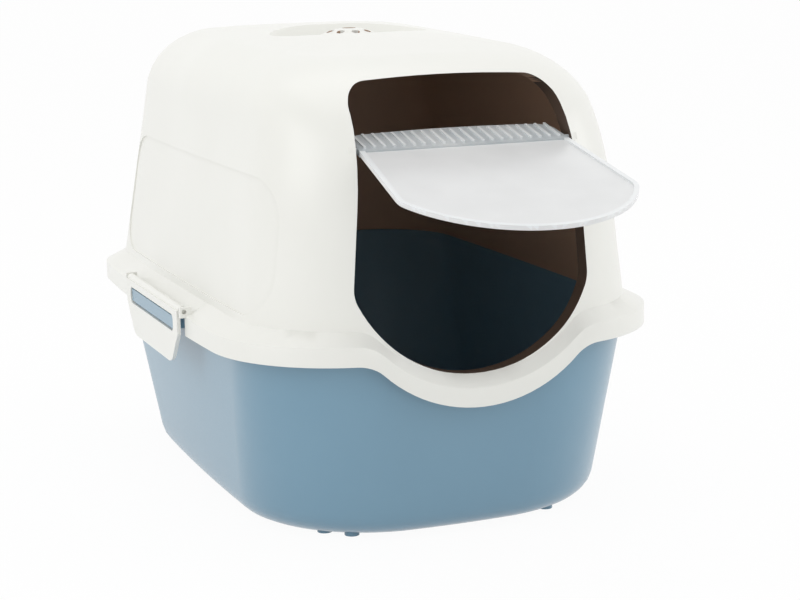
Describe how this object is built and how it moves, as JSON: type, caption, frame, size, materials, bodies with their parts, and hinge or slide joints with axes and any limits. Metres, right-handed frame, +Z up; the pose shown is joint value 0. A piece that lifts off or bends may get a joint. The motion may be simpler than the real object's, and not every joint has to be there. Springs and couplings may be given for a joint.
{
  "type": "covered litter box",
  "caption": "Free-standing covered litter box: a pan under a domed hood with a see-through swing flap, side clips and a vented roof.",
  "frame": {"origin": "centre of the pad under the middle of the tray, on the floor", "axes": "+Z up, the doorway faces -Y, +X towards the right of someone who faces the doorway from inside the room looking along +Y"},
  "size_m": [0.382, 0.6704, 0.3848],
  "materials": {
    "tray_plastic": "satin",
    "hood_plastic": "satin",
    "clear_plastic": "frosted",
    "rail_plastic": "frosted",
    "carbon_foam": "matte"
  },
  "bodies": {
    "box": {"tray": "tray_plastic", "hood": "hood_plastic", "carbon_filter": "carbon_foam", "filter_cover": "hood_plastic"},
    "flap": {"flap_panel": "clear_plastic", "flap_rail": "rail_plastic"},
    "left_clip": {"clip_left": "hood_plastic"},
    "right_clip": {"clip_right": "hood_plastic"}
  },
  "joints": [
    {"name": "flap_swing", "type": "hinge", "parent": "box", "child": "flap", "pos_m": [0, -0.232, 0.307], "axis": [-1, 0, 0], "range_deg": [-146, 8]},
    {"name": "left_clip_swing", "type": "hinge", "parent": "box", "child": "left_clip", "pos_m": [-0.1865, -0.009, 0.1705], "axis": [0, 1, 0], "range_deg": [0, 100]},
    {"name": "right_clip_swing", "type": "hinge", "parent": "box", "child": "right_clip", "pos_m": [0.1865, -0.009, 0.1705], "axis": [0, -1, 0], "range_deg": [0, 100]}
  ]
}
